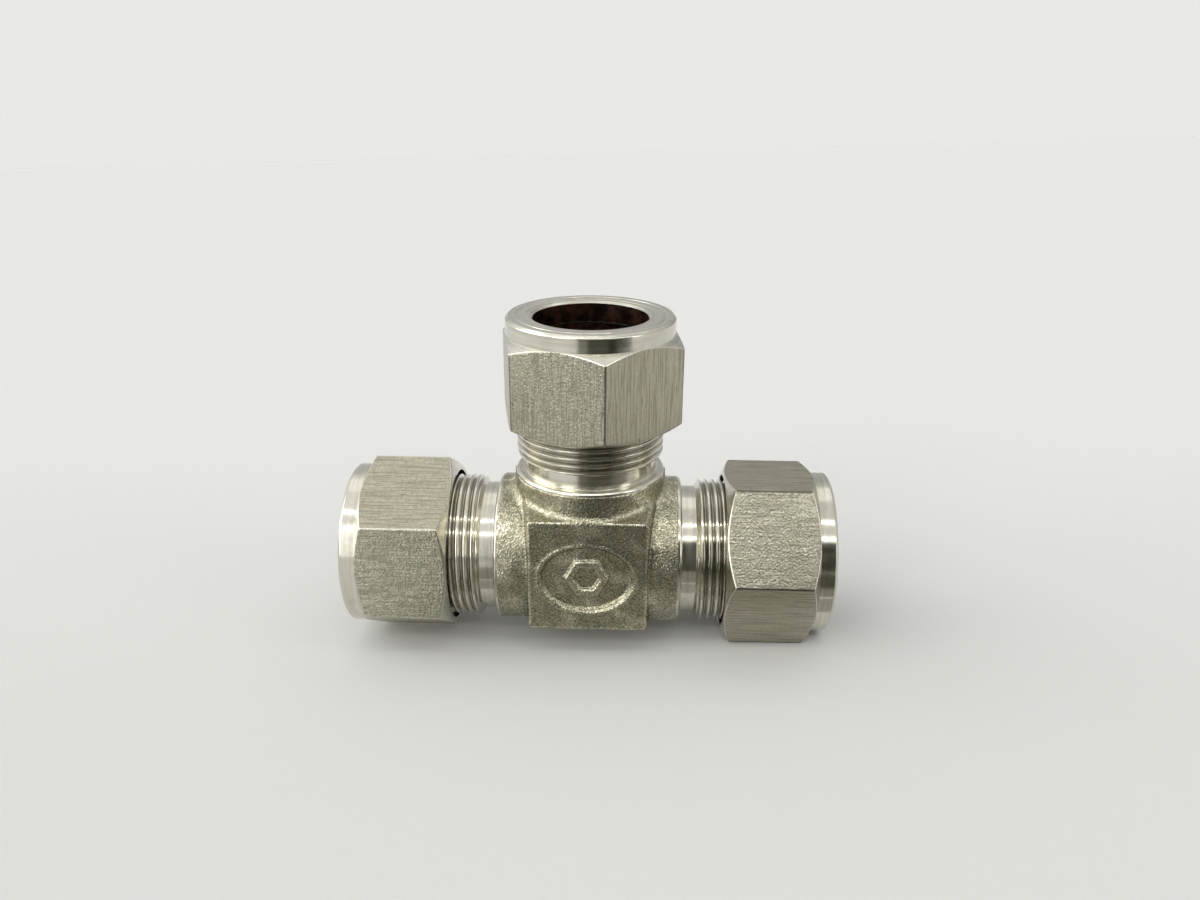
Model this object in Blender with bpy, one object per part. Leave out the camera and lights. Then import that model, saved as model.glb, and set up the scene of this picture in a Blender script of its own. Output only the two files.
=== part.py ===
"""Twin-ferrule compression union tee for 19.05 mm (3/4 in) tube, with its three nuts backed off.

A forged body carries three threaded ends: left and right along X, the branch along +Z. Each end
takes a hexagonal nut, a front ferrule and a back ferrule. Everything along an end is measured in
metres from the point where the three axes cross. The surface it stands on is z = 0.
"""

import math

import bmesh
import bpy
from mathutils import Matrix, Vector

MM = 0.001

# Tube and flow passages
TUBE_HOLE_R = 9.68 * MM  # nut's hole for the 19.05 mm tube
SOCKET_R = 9.60 * MM  # body socket and ferrules
FLOW_R = 7.87 * MM
BRANCH_FLOW_R = 7.80 * MM  # a shade smaller, so that it opens cleanly into the run's
TUBE_STOP = 15.5 * MM  # where the tube's end rests
MOUTH_R = 11.0 * MM
MOUTH_SLOPE = math.tan(math.radians(12))  # taper that the front ferrule wedges into

# Forged body
NECK_R = 13.0 * MM
SHOULDER = 16.1 * MM
PAD_TO_PAD = 27.0 * MM
PAD_X = (-10.0 * MM, 10.3 * MM)
PAD_Z = (-9.3 * MM, 11.0 * MM)
DRAFT = math.tan(math.radians(10.5))  # forging draft on the pads' sides
PAD_EDGE_R = 0.5 * MM
OVAL_WIDE, OVAL_TALL, OVAL_DEEP = 16.3 * MM, 12.6 * MM, 0.7 * MM
OVAL_WALL = 0.8 * MM  # width of its sloping wall
OVAL_Z = 0.4 * MM
MARK_OUTER_R, MARK_INNER_R, MARK_TALL = 3.7 * MM, 2.4 * MM, 0.5 * MM

# Threaded end
RELIEF_R = 11.4 * MM
RELIEF_END = 18.6 * MM
BODY_END = 32.0 * MM
END_CHAMFER_R = 11.9 * MM
THREAD_CHAMFER = math.tan(math.radians(30))  # height for each step of radius
BURIED = 3.0 * MM  # how far an end reaches into the forging

# Thread, 1 in - 20
PITCH = 1.27 * MM
CREST_R = 12.62 * MM
ROOT_R = 12.02 * MM
THREAD_GAP = 0.16 * MM  # radial clearance between nut and body
THREAD_STEPS = 24

# Nut, measured from its inner end
NUT_FLATS = 28.575 * MM
NUT_LONG = 18.5 * MM
COLLAR_R = 14.26 * MM
COLLAR_AT = 15.65 * MM
HEX_CHAMFER = math.tan(math.radians(30))
COLLAR_CHAMFER = 0.45 * MM
HOLE_CHAMFER = 0.47 * MM
RIM_R = 14.07 * MM
COUNTERSINK_R = 13.0 * MM
NUT_BLANK_R = 12.0 * MM  # bore before the thread is cut
THREAD_RELIEF_R = 12.95 * MM
THREAD_RELIEF = (8.6 * MM, 12.2 * MM)
CAVITY_R = 11.3 * MM
NUT_STEP = 14.7 * MM  # step that pushes the back ferrule

# Where the nuts stand
FINGER_TIGHT = 21.3 * MM  # inner end of a nut whose ferrules touch the body
BACKED_OFF = {"left": 2.5 * MM, "right": 2.3 * MM, "branch": 3.3 * MM}
# Turn of each hexagon about its end's axis, from a corner on the end's own local +X
HEX_TURN = {"left": 34.1, "right": -3.7, "branch": -79.5}

# Ferrules, measured inwards from the nut's step
FERRULE_GAP = 0.15 * MM
BACK_RING = ((10.95, 1.45), (10.5, 1.6), (10.05, 3.0))
FRONT_RING = ((11.0, 3.6), (9.9, 8.0))
FRONT_REAR = 1.75 * MM
FRONT_SEAT = ((10.75, 1.75), (10.33, 3.0), (10.33, 3.25))

WELD = 0.001 * MM
ROUND_STEPS = 36
FERRULE_STEPS = 32
CORNER_R = NUT_FLATS / math.sqrt(3)

# Each end's frame: its axis, and the local +X that hexagon turns are counted from
ENDS = {
    "left": (Vector((-1, 0, 0)), Vector((0, -1, 0))),
    "right": (Vector((1, 0, 0)), Vector((0, -1, 0))),
    "branch": (Vector((0, 0, 1)), Vector((1, 0, 0))),
}


def end_frame(end):
    """Matrix that takes local +Z to the end's axis."""
    along, across = ENDS[end]
    return Matrix((across, along.cross(across), along)).transposed().to_4x4()


def hex_corners(end):
    """The six corner directions of an end's nut, in the part's frame."""
    frame = end_frame(end)
    start = math.radians(HEX_TURN[end])
    angles = [start + k * math.pi / 3 for k in range(6)]
    return [frame @ Vector((math.cos(a), math.sin(a), 0)) for a in angles]


# The lowest nut corner touches the surface, which sets how high the run's axis is.
AXIS_HEIGHT = -CORNER_R * min(c.z for end in ("left", "right") for c in hex_corners(end))
CROSSING = Matrix.Translation((0, 0, AXIS_HEIGHT))


def clear_scene():
    for obj in list(bpy.data.objects):
        bpy.data.objects.remove(obj, do_unlink=True)


def steel(name, colour, roughness):
    mat = bpy.data.materials.new(name)
    mat.use_nodes = True
    shader = mat.node_tree.nodes["Principled BSDF"]
    shader.inputs["Base Color"].default_value = (*colour, 1)
    shader.inputs["Metallic"].default_value = 1.0
    shader.inputs["Roughness"].default_value = roughness
    mat.diffuse_color = (*colour, 1)
    return mat


def add_object(name, bm, mat=None):
    """Turns a bmesh into an object of the scene, faces outwards."""
    bmesh.ops.recalc_face_normals(bm, faces=bm.faces)
    mesh = bpy.data.meshes.new(name)
    bm.to_mesh(mesh)
    bm.free()
    mesh.shade_smooth()
    mesh.set_sharp_from_angle(angle=math.radians(30))
    if mat:
        mesh.materials.append(mat)
    obj = bpy.data.objects.new(name, mesh)
    bpy.context.scene.collection.objects.link(obj)
    return obj


def turned(name, outline, steps, closed=True, half_step=False, mat=None):
    """A shape turned about Z from (radius, height) points: a ring, or a solid that starts and
    ends on the axis. Half a step of turn keeps its facets off those of a neighbour."""
    bm = bmesh.new()
    start = math.pi / steps if half_step else 0.0
    verts = [bm.verts.new((r * math.cos(start), r * math.sin(start), h)) for r, h in outline]
    ends = verts[1:] + verts[:1] if closed else verts[1:]
    edges = [bm.edges.new(pair) for pair in zip(verts, ends)]
    bmesh.ops.spin(
        bm, geom=verts + edges, cent=(0, 0, 0), axis=(0, 0, 1), angle=2 * math.pi, steps=steps
    )
    bmesh.ops.remove_doubles(bm, verts=bm.verts, dist=WELD)
    return add_object(name, bm, mat)


def threaded_rod(name, start, turns, extra_r=0.0):
    """A closed right-hand threaded rod along Z. Its thread passes through the same points for
    every start, so that a nut and its end mesh."""
    first = math.floor(start / PITCH) * THREAD_STEPS
    radii = (ROOT_R + extra_r, CREST_R + extra_r)
    bm = bmesh.new()
    rows = []
    for k in range(first, first + turns * THREAD_STEPS + 1):
        angle = 2 * math.pi * k / THREAD_STEPS
        heights = (PITCH * k / THREAD_STEPS, PITCH * (k / THREAD_STEPS + 0.5))
        rows.append(
            [
                bm.verts.new((r * math.cos(angle), r * math.sin(angle), h))
                for r, h in zip(radii, heights)
            ]
        )
    caps = [bm.verts.new((0, 0, PITCH * (first / THREAD_STEPS + n + 0.5))) for n in (0, turns - 1)]
    for k in range(len(rows) - 1):
        root, crest = rows[k]
        next_root, next_crest = rows[k + 1]
        bm.faces.new((root, next_root, next_crest, crest))
        if k + THREAD_STEPS + 1 < len(rows):
            above, next_above = rows[k + THREAD_STEPS][0], rows[k + THREAD_STEPS + 1][0]
            bm.faces.new((crest, next_crest, next_above, above))
        else:
            bm.faces.new((crest, next_crest, caps[1]))
        if k < THREAD_STEPS:
            bm.faces.new((next_root, root, caps[0]))
    first_step = (rows[0][0], rows[0][1], rows[THREAD_STEPS][0])
    last_step = (rows[-1 - THREAD_STEPS][1], rows[-1][0], rows[-1][1])
    for step, cap in ((first_step, caps[0]), (last_step, caps[1])):
        for low, high in zip(step, step[1:]):
            bm.faces.new((low, high, cap))
    return add_object(name, bm)


def prism(name, corners, low, high):
    """A solid of the given (x, y) corners between two heights."""
    bm = bmesh.new()
    base = bm.faces.new([bm.verts.new((x, y, low)) for x, y in corners])
    lifted = bmesh.ops.extrude_face_region(bm, geom=[base])
    verts = [v for v in lifted["geom"] if isinstance(v, bmesh.types.BMVert)]
    bmesh.ops.translate(bm, vec=(0, 0, high - low), verts=verts)
    return add_object(name, bm)


def ring_points(count, radius, start=0.0):
    angles = [start + 2 * math.pi * k / count for k in range(count)]
    return [(radius * math.cos(a), radius * math.sin(a)) for a in angles]


def hide_helper(obj):
    obj.hide_render = True
    obj.display_type = "WIRE"
    obj.hide_set(True)


def boolean(obj, operation, *others):
    for other in others:
        hide_helper(other)
        modifier = obj.modifiers.new(f"{operation.lower()} {other.name}", "BOOLEAN")
        modifier.operation = operation
        modifier.solver = "EXACT"
        modifier.object = other


def place(obj, matrix):
    obj.matrix_world = matrix


def pad_block(name):
    """The square boss with its two wrench pads, wider at the forging's parting plane."""
    half = PAD_TO_PAD / 2
    grow = half * DRAFT
    bm = bmesh.new()
    rings = []
    for y, more in ((-half, 0.0), (0.0, grow), (half, 0.0)):
        x0, x1 = PAD_X[0] - more, PAD_X[1] + more
        z0, z1 = PAD_Z[0] - more, PAD_Z[1] + more
        rings.append([bm.verts.new((x, y, z)) for x, z in ((x0, z0), (x1, z0), (x1, z1), (x0, z1))])
    for near, far in zip(rings, rings[1:]):
        for k in range(4):
            bm.faces.new((near[k], near[(k + 1) % 4], far[(k + 1) % 4], far[k]))
    bm.faces.new(rings[0])
    bm.faces.new(reversed(rings[-1]))
    block = add_object(name, bm)
    bevel = block.modifiers.new("forged edges", "BEVEL")
    bevel.width = PAD_EDGE_R
    bevel.segments = 1
    bevel.limit_method = "ANGLE"
    bevel.angle_limit = math.radians(40)
    return block


def oval_recess():
    """The shallow oval sunk into the front pad, less the raised hexagon that stands in it."""
    bm = bmesh.new()
    rings = []
    for height, grow in ((-OVAL_DEEP, -OVAL_WALL), (OVAL_DEEP, OVAL_WALL)):
        wide, tall = OVAL_WIDE / 2 + grow, OVAL_TALL / 2 + grow
        points = ring_points(FERRULE_STEPS, 1.0)
        rings.append([bm.verts.new((wide * x, tall * y, height)) for x, y in points])
        bm.faces.new(rings[-1])
    low, high = rings
    for k in range(FERRULE_STEPS):
        after = (k + 1) % FERRULE_STEPS
        bm.faces.new((low[k], low[after], high[after], high[k]))
    cutter = add_object("oval_cutter", bm)
    mark = prism("mark_blank", ring_points(6, MARK_OUTER_R), -2 * OVAL_DEEP, MARK_TALL - OVAL_DEEP)
    hole = prism("mark_hole", ring_points(6, MARK_INNER_R), -3 * OVAL_DEEP, OVAL_DEEP)
    boolean(mark, "DIFFERENCE", hole)
    boolean(cutter, "DIFFERENCE", mark)
    # local +Z looks out of the front pad, local +Y is up
    frame = Matrix(((1, 0, 0), (0, 0, -1), (0, 1, 0))).to_4x4()
    spot = Matrix.Translation((0, -PAD_TO_PAD / 2, OVAL_Z)) @ frame
    for obj in (cutter, mark, hole):
        place(obj, CROSSING @ spot)
    return cutter


def socket_outline():
    """Tube stop, socket and ferrule mouth, from the flow bore outwards."""
    mouth_end = BODY_END - (MOUTH_R - SOCKET_R) / MOUTH_SLOPE
    past = 1 * MM
    return [
        (SOCKET_R, TUBE_STOP),
        (SOCKET_R, mouth_end),
        (MOUTH_R + past * MOUTH_SLOPE, BODY_END + past),
        (0, BODY_END + past),
    ]


def bore_cutters():
    """The run's bore from end to end, and the branch's, which opens into it."""
    right = [(FLOW_R, TUBE_STOP)] + socket_outline()
    left = [(r, -h) for r, h in reversed(right)]
    branch = [(0, 0), (BRANCH_FLOW_R, 0), (BRANCH_FLOW_R, TUBE_STOP)] + socket_outline()
    for end, outline in (("right", left + right), ("branch", branch)):
        bore = turned(f"{end}_bore", outline, ROUND_STEPS, closed=False, half_step=True)
        place(bore, CROSSING @ end_frame(end))
        yield bore


def threaded_end(end):
    """Relief and male thread of one end: a threaded rod that keeps only what its blank covers."""
    root = SHOULDER - BURIED
    over = CREST_R + 0.3 * MM
    outline = (
        (0, root),
        (RELIEF_R, root),
        (RELIEF_R, RELIEF_END),
        (over, RELIEF_END + (over - RELIEF_R) * THREAD_CHAMFER),
        (over, BODY_END - (over - END_CHAMFER_R) * THREAD_CHAMFER),
        (END_CHAMFER_R, BODY_END),
        (0, BODY_END),
    )
    turns = math.ceil((BODY_END - root) / PITCH) + 3
    rod = threaded_rod(f"{end}_male_thread", root - PITCH, turns)
    blank = turned(f"{end}_thread_blank", outline, ROUND_STEPS, closed=False)
    for obj in (rod, blank):
        place(obj, CROSSING @ end_frame(end))
    boolean(rod, "INTERSECT", blank)
    return rod


def build_body(mat):
    half_run = SHOULDER
    body = turned(
        "tee_body",
        ((0, -half_run), (NECK_R, -half_run), (NECK_R, half_run), (0, half_run)),
        ROUND_STEPS,
        closed=False,
        mat=mat,
    )
    place(body, CROSSING @ end_frame("right"))
    branch_outline = ((0, 0), (NECK_R, 0), (NECK_R, SHOULDER), (0, SHOULDER))
    branch = turned("branch_neck", branch_outline, ROUND_STEPS, closed=False, half_step=True)
    place(branch, CROSSING @ end_frame("branch"))
    block = pad_block("pads")
    place(block, CROSSING)
    boolean(body, "UNION", branch, block, *[threaded_end(end) for end in ENDS])
    boolean(body, "DIFFERENCE", *bore_cutters(), oval_recess())
    return body


def nut_start(end):
    """Where the inner end of an end's nut stands."""
    return FINGER_TIGHT + BACKED_OFF[end]


def build_nut(end, mat):
    start = nut_start(end)
    wide = CORNER_R + 0.5 * MM
    outline = (
        (COUNTERSINK_R, 0),
        (RIM_R, 0),
        (wide, (wide - RIM_R) * HEX_CHAMFER),
        (wide, COLLAR_AT - (wide - COLLAR_R) * HEX_CHAMFER),
        (COLLAR_R, COLLAR_AT),
        (COLLAR_R, NUT_LONG - COLLAR_CHAMFER),
        (COLLAR_R - COLLAR_CHAMFER, NUT_LONG),
        (TUBE_HOLE_R + HOLE_CHAMFER, NUT_LONG),
        (TUBE_HOLE_R, NUT_LONG - HOLE_CHAMFER),
        (TUBE_HOLE_R, NUT_STEP),
        (CAVITY_R, NUT_STEP),
        (CAVITY_R, THREAD_RELIEF[1]),
        (THREAD_RELIEF_R, THREAD_RELIEF[1]),
        (THREAD_RELIEF_R, THREAD_RELIEF[0]),
        (NUT_BLANK_R, THREAD_RELIEF[0] - (THREAD_RELIEF_R - NUT_BLANK_R) * THREAD_CHAMFER),
        (NUT_BLANK_R, (COUNTERSINK_R - NUT_BLANK_R) * THREAD_CHAMFER),
    )
    standing = [(r, start + h) for r, h in outline]
    nut = turned(f"{end}_nut", standing, ROUND_STEPS, mat=mat)
    turn = math.radians(HEX_TURN[end])
    over = 1 * MM
    blank = prism(
        f"{end}_hexagon", ring_points(6, CORNER_R, turn), start - over, start + NUT_LONG + over
    )
    tap_turns = math.ceil(THREAD_RELIEF[0] / PITCH) + 3
    tap = threaded_rod(f"{end}_tap", start - PITCH, tap_turns, extra_r=THREAD_GAP)
    for obj in (nut, blank, tap):
        place(obj, CROSSING @ end_frame(end))
    boolean(nut, "INTERSECT", blank)
    boolean(nut, "DIFFERENCE", tap)
    return nut


def build_ferrules(end, mat):
    step = nut_start(end) + NUT_STEP
    back_outline = [(SOCKET_R, step - FERRULE_GAP), (BACK_RING[0][0] * MM, step - FERRULE_GAP)]
    back_outline += [(r * MM, step - w * MM) for r, w in BACK_RING]
    back_outline += [(SOCKET_R, step - BACK_RING[-1][1] * MM)]
    front_outline = [(r * MM, step - w * MM) for r, w in reversed(FRONT_SEAT)]
    front_outline += [(FRONT_RING[0][0] * MM, step - FRONT_REAR)]
    front_outline += [(r * MM, step - w * MM) for r, w in FRONT_RING]
    front_outline += [(SOCKET_R, step - FRONT_RING[-1][1] * MM)]
    front_outline += [(SOCKET_R, step - FRONT_SEAT[-1][1] * MM)]
    for name, outline in (("back_ferrule", back_outline), ("front_ferrule", front_outline)):
        ring = turned(f"{end}_{name}", outline, FERRULE_STEPS, mat=mat)
        place(ring, CROSSING @ end_frame(end))


def main():
    clear_scene()
    forged = steel("forged steel", (0.36, 0.34, 0.29), 0.42)
    drawn = steel("drawn hexagon steel", (0.52, 0.49, 0.42), 0.34)
    bright = steel("turned steel", (0.60, 0.58, 0.52), 0.22)
    build_body(forged)
    for end in ENDS:
        build_nut(end, drawn)
        build_ferrules(end, bright)


main()
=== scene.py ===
"""Looks of the tee fitting: a forged body with three machined threaded ends, three hexagonal nuts
and their ferrules, on a pale floor in soft studio light.

Meshes are drawn in millimetres and become metres when they are placed. Everything along an end is
counted from the point where the three axes cross.
"""

import math

import bmesh
import bpy
import numpy as np
from mathutils import Matrix, Vector


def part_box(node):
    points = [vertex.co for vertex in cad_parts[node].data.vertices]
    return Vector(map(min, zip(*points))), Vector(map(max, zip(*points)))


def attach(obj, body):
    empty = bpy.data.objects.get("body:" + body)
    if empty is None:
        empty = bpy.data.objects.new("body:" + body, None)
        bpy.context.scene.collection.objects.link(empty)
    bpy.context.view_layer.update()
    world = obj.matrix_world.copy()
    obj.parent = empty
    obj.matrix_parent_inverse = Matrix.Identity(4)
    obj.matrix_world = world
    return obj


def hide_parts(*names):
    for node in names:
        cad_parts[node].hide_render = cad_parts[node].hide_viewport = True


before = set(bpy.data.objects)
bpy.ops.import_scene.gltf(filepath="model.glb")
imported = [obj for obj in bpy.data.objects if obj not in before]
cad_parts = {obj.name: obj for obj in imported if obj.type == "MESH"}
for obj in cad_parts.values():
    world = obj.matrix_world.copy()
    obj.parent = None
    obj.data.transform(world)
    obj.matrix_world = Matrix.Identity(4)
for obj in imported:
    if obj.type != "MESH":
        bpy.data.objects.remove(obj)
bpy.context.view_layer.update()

MM = 0.001

# Passages
TUBE_HOLE_R = 9.68
SOCKET_R = 9.60
FLOW_R = 7.87
BRANCH_FLOW_R = 7.80
TUBE_STOP = 15.5
MOUTH_R = 11.0
MOUTH_SLOPE = math.tan(math.radians(12))

# Forged body
NECK_R = 13.0
FORGED_END = 15.42  # where the machined land takes over from the forging
FACED_EDGE_R, BORE_EDGE_R = 0.05, 0.1
PAD_Y = 13.5  # half the width across the wrench pads
PAD_X = (-10.0, 10.3)
PAD_Z = (-9.3, 11.0)
DRAFT = math.tan(math.radians(10.5))
PAD_EDGE_R = 0.25
PAD_CORNER_R = 0.8
CROTCH_FILLET = 1.6
PAD_SIDE_FILLET, PAD_TOP_FILLET = 0.4, 1.1
FLASH_HALF_WIDTH, FLASH_HEIGHT = 0.8, 0.16  # parting line left by the dies
FLASH_EDGE_R, FLASH_FILLET = 0.12, 0.2
OVAL_WIDE, OVAL_TALL, OVAL_Z = 16.3, 12.6, 0.4
OVAL_DEEP, OVAL_WALL = 0.75, 0.7  # the wall slopes over this width
LIP_TALL, LIP_WIDE = 0.16, 0.22
MARK_OUTER_R, MARK_INNER_R = 3.8, 2.3
MARK_TALL, MARK_WALL = 0.6, 0.3
FORGED_CELL = 0.26
FORGED_LOW, FORGED_HIGH = (-16.1, -14.3, -14.3), (16.1, 14.3, 16.1)  # room that is searched
EDGE_FEEL, HOLLOW_FEEL = 0.45, 1.1  # how deep worn edges are felt, which also carry a painted highlight, and how far out the darker hollows are felt
EDGE_GAIN, EDGE_CUT = 5.5, 0.2
HOLLOW_GAIN, HOLLOW_CUT = 2.2, 0.08
RUBBED = 0.6  # wear of the lip and of the hexagon ring
UNEVEN = 0.014  # height of each slow wave in the skin
DENTS = 60

# Machined end of the body
END_BURIED, BORE_STEP = 0.3, 0.03  # where its skin starts, a little inside the forging's
LAND_R = 12.92
LAND_CHAMFER = 0.34
SHOULDER = 16.1
RELIEF_R = 11.4
RELIEF_END = 18.6
BODY_END = 32.0
END_CHAMFER_R = 11.9
THREAD_CHAMFER = math.tan(math.radians(30))  # height for each step of radius

# Thread, 1 in - 20
PITCH = 1.27
ROOT_R, CREST_R = 12.0, 12.66
NUT_THREAD_GAP = 0.14
UNDARKENED_START, UNDARKENED_END = 0.75, 0.5  # ends of the body's thread whose roots are not darkened
THREAD_STEPS = 16  # rows in one pitch
TURNED_COLUMNS = 160

# Nut, from its inner end
HEX_APOTHEM = 14.2875
HEX_CORNER_R = 0.3
NUT_LONG = 18.5
COLLAR_R, COLLAR_AT, COLLAR_CHAMFER = 14.26, 15.65, 0.45
RIM_R = 14.07
HEX_CHAMFER = math.tan(math.radians(30))
HEX_EASE = 0.12
HOLE_CHAMFER = 0.47
RIM_INNER_R, RIM_HOLE_R = 13.75, 13.7
COLLAR_FACE_R = 13.2
COUNTERSINK_R = 13.4
COUNTERBORE_DEEP = 1.3
THREAD_RELIEF_R = 12.95
THREAD_RELIEF = (8.6, 12.2)
CAVITY_R = 11.3
NUT_STEP = 14.7
HEX_TURN = {"left": 34.1, "right": -3.7, "branch": -79.5}

# Ferrules: radius, and distance inwards from the nut's step
FERRULE_GAP = 0.15
BACK_RING = (
    (SOCKET_R, FERRULE_GAP),
    (10.95, FERRULE_GAP),
    (10.95, 1.45),
    (10.5, 1.6),
    (10.05, 3.0),
    (SOCKET_R, 3.0),
)
FRONT_RING = (
    (SOCKET_R, 3.25),
    (10.33, 3.25),
    (10.33, 3.0),
    (10.75, 1.75),
    (11.0, 1.75),
    (11.0, 3.6),
    (9.9, 8.0),
    (SOCKET_R, 8.0),
)

# Each end's axis, and the direction that its angles are counted from
ENDS = {
    "left": (Vector((-1, 0, 0)), Vector((0, -1, 0))),
    "right": (Vector((1, 0, 0)), Vector((0, -1, 0))),
    "branch": (Vector((0, 0, 1)), Vector((1, 0, 0))),
}

# How rough each flat of a nut is, from 0 for a drawn face to 1 for a coarse one
FLAT_GRAIN = {
    "left": (0.5, 0.2, 0.9, 0.4, 0.1, 1.0),
    "right": (0.3, 0.1, 0.5, 0.8, 0.2, 0.85),
    "branch": (0.2, 0.7, 0.4, 0.9, 0.3, 0.8),
}

# A nut's corners: 1 where they are rubbed bright and carry a painted highlight, -1 where painted
# shade darkens them
CORNER_MARK_R = 16.38
CORNER_WEAR_SHEEN_AND_SHADE = {"left": 1.0, "right": -1.0, "branch": -0.7}

# How a mesh is finished
WELD = 0.0005
EASE_STEPS = 3  # points round an eased corner, less one
SHARP_ANGLE = math.radians(35)
LINE_RADIUS = 12.0  # radius at which the tool lines' U is a true length
FLAT_APART = 40.0  # between the tool lines of one flat and the next, so that none match

# Floor, far wall and camera. The floor leans, as the tee rests on two of its nuts.
FLOOR_WHITE = (0.617, 0.617, 0.619, 1)
# painted shade on the floor towards the camera
FLOOR_SHADED_GREY = (0.565, 0.565, 0.553, 1)
FLOOR_HALF = 4.0  # in metres
FAR_WHITE = (0.814, 0.814, 0.798, 1)
TENT_LOW, TENT_HIGH = (0.80, 0.80, 0.79, 1), (0.80, 0.80, 0.785, 1)
FLOOR_LEAN = Vector((-0.035, 0.0646, 1.0)).normalized()
CAMERA_STAND = Vector((7.32, -160.19, 82.75))
CAMERA_YAW, CAMERA_PITCH, CAMERA_ROLL = -2.014, 21.753, 0.372
CAMERA_LENS = 29.55

# Glowing sheets that only show in the steel, as painted reflections of the dark surroundings in
# front of the tee and of the shade on the floor: a corner, the two sides from it, and their glow
REFLECTION_SHEETS = {
    "left_dark_reflection": ((-22, -75, -12), (20, 0, 0), (0, 0, 14), (0.075, 0.075, 0.058, 1)),
    "middle_dark_reflection": ((-2, -75, -12), (40, -12.7, 0), (0, 0, 72), (0.07, 0.07, 0.055, 1)),
    "right_dark_reflection": ((38, -87.7, -12), (25, -7.3, 0), (0, 0, 18), (0.03, 0.03, 0.02, 1)),
    "high_dark_reflection": ((38, -87.7, 6), (67, 12.7, 0), (0, 0, 59), (0.03, 0.03, 0.02, 1)),
    "grey_far_reflection": ((-34, -140, -30), (184, 0, 0), (0, 0, 135), (0.13, 0.13, 0.10, 1)),
    "far_floor_shade_reflection": ((-22, -96, -8), (91, 0, 3.2), (0, 46, -3), (0.08, 0.08, 0.06, 1)),
    "middle_floor_shade_reflection": ((-28, -50, -10.7), (94, 0, 3.2), (0, 26, -1.7), (0.26, 0.255, 0.215, 1)),
    "near_floor_shade_reflection": ((-41, -24, -13.7), (107, 0, 3.7), (0, 8, -0.5), (0.34, 0.335, 0.29, 1)),
    "right_floor_shade_reflection": ((24, -50, -8.6), (56, 0, 2), (0, 18, -1.2), (0.08, 0.08, 0.06, 1)),
}


# Places

ring_low, ring_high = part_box("right_front_ferrule")
CROSSING = Vector((0, 0, (ring_low.z + ring_high.z) / 2))


def end_matrix(end):
    """Takes a mesh drawn in millimetres about Z to its end of the tee, in metres."""
    along, across = ENDS[end]
    turn = Matrix((across, along.cross(across), along)).transposed().to_4x4()
    return Matrix.Translation(CROSSING) @ turn @ Matrix.Scale(MM, 4)


def body_matrix():
    return Matrix.Translation(CROSSING) @ Matrix.Scale(MM, 4)


def nut_start(end):
    """Where an end's nut begins, in millimetres from the crossing."""
    along = ENDS[end][0]
    corners = [Vector(corner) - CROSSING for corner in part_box(f"{end}_nut")]
    return min(abs(corner.dot(along)) for corner in corners) / MM


# Node helpers


def new_node(tree, kind, **settings):
    node = tree.nodes.new(kind)
    for name, value in settings.items():
        setattr(node, name, value)
    return node


def feed(tree, socket, source):
    """Links a socket to another's output, or gives it a plain value."""
    if isinstance(source, bpy.types.NodeSocket):
        tree.links.new(source, socket)
    else:
        socket.default_value = source


def maths(tree, operation, *sources, clamp=False):
    node = new_node(tree, "ShaderNodeMath", operation=operation, use_clamp=clamp)
    for socket, source in zip(node.inputs, sources):
        feed(tree, socket, source)
    return node.outputs[0]


def ramp(tree, value, low, high, start=0.0, end=1.0, smooth=True):
    """The value taken from low..high to start..end, held at both ends."""
    node = new_node(tree, "ShaderNodeMapRange")
    node.interpolation_type = "SMOOTHSTEP" if smooth else "LINEAR"
    for name, source in (
        ("Value", value),
        ("From Min", low),
        ("From Max", high),
        ("To Min", start),
        ("To Max", end),
    ):
        feed(tree, node.inputs[name], source)
    return node.outputs["Result"]


def split(tree, vector):
    node = new_node(tree, "ShaderNodeSeparateXYZ")
    feed(tree, node.inputs[0], vector)
    return node.outputs


def combine(tree, x, y, z):
    node = new_node(tree, "ShaderNodeCombineXYZ")
    for socket, source in zip(node.inputs, (x, y, z)):
        feed(tree, socket, source)
    return node.outputs[0]


def mix_colours(tree, share, first, second, blend="MIX"):
    node = new_node(tree, "ShaderNodeMix", data_type="RGBA", blend_type=blend)
    sockets = (node.inputs["Factor"], node.inputs[6], node.inputs[7])
    for socket, source in zip(sockets, (share, first, second)):
        feed(tree, socket, source)
    return node.outputs[2]


def noise(tree, vector, scale, detail, roughness):
    node = new_node(tree, "ShaderNodeTexNoise")
    for name, source in (
        ("Vector", vector),
        ("Scale", scale),
        ("Detail", detail),
        ("Roughness", roughness),
    ):
        feed(tree, node.inputs[name], source)
    return node.outputs["Fac"]


def cells(tree, vector, scale):
    node = new_node(tree, "ShaderNodeTexVoronoi")
    feed(tree, node.inputs["Vector"], vector)
    feed(tree, node.inputs["Scale"], scale)
    return node.outputs


def bump(tree, height, depth):
    """A bump whose height of 0..1 stands for this depth in metres."""
    node = new_node(tree, "ShaderNodeBump")
    node.inputs["Distance"].default_value = depth
    feed(tree, node.inputs["Height"], height)
    return node.outputs["Normal"]


# Materials


def metal(name, metallic=1.0, anisotropic=0.0):
    """A metal with its node tree, its shader and its place in millimetres."""
    material = bpy.data.materials.new(name)
    material.use_nodes = True
    tree = material.node_tree
    shader = tree.nodes["Principled BSDF"]
    shader.inputs["Metallic"].default_value = metallic
    shader.inputs["Anisotropic"].default_value = anisotropic
    shader.inputs["Anisotropic Rotation"].default_value = 0.25
    if anisotropic:
        tangent = new_node(tree, "ShaderNodeTangent", direction_type="UV_MAP", uv_map="tool_lines")
        tree.links.new(tangent.outputs[0], shader.inputs["Tangent"])
    coords = new_node(tree, "ShaderNodeTexCoord")
    mapping = new_node(tree, "ShaderNodeMapping")
    mapping.inputs["Scale"].default_value = (1 / MM,) * 3
    tree.links.new(coords.outputs["Object"], mapping.inputs["Vector"])
    return material, tree, shader, mapping.outputs[0]


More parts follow.
